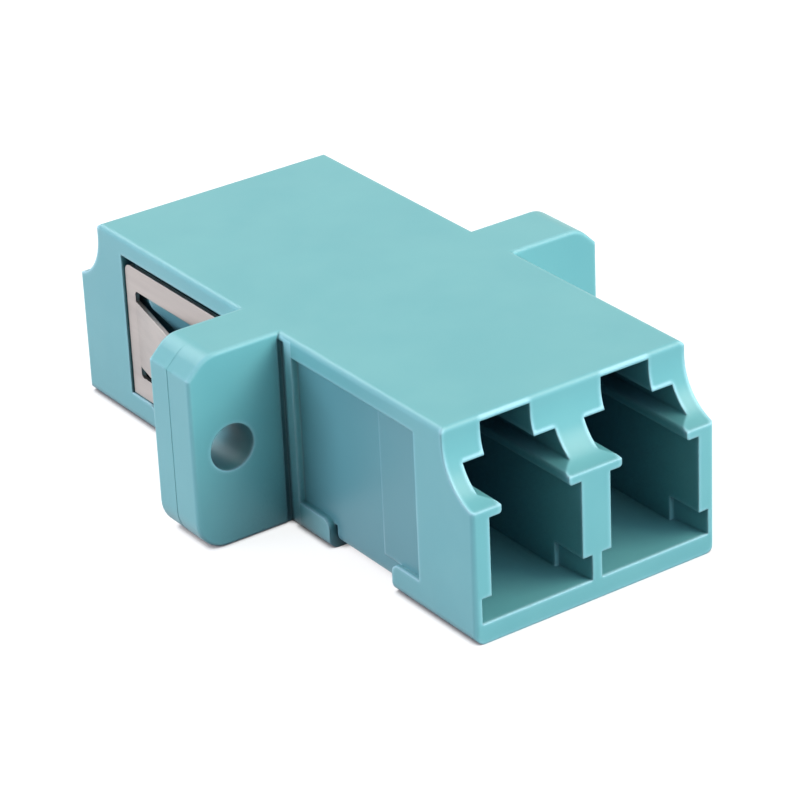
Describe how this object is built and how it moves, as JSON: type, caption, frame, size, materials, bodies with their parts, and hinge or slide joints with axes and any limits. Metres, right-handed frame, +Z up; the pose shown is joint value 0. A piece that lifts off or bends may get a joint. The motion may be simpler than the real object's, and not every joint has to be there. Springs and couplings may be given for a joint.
{
  "type": "duplex fibre optic adapter",
  "caption": "Flanged duplex adapter that joins small form factor fibre connectors end to end through a panel, held by a spring clip or by screws.",
  "frame": {"origin": "under the middle of the body, on the plane of its underside", "axes": "+X across the two ports, +Y along the fibres from the front ports to the clip end, +Z up, towards the latch side"},
  "size_m": [0.022, 0.0308, 0.0093],
  "materials": {
    "housing_plastic": "aqua moulded thermoplastic, satin",
    "holder_plastic": "aqua moulded thermoplastic, satin",
    "sleeve_ceramic": "ground zirconia, smooth",
    "clip_steel": "rolled spring steel, fine grain"
  },
  "bodies": {
    "root": {"housing_front": "housing_plastic", "housing_rear": "housing_plastic", "sleeve_holder_front": "holder_plastic", "sleeve_holder_rear": "holder_plastic", "alignment_sleeve_left": "sleeve_ceramic", "alignment_sleeve_right": "sleeve_ceramic", "panel_clip": "clip_steel"}
  },
  "joints": []
}
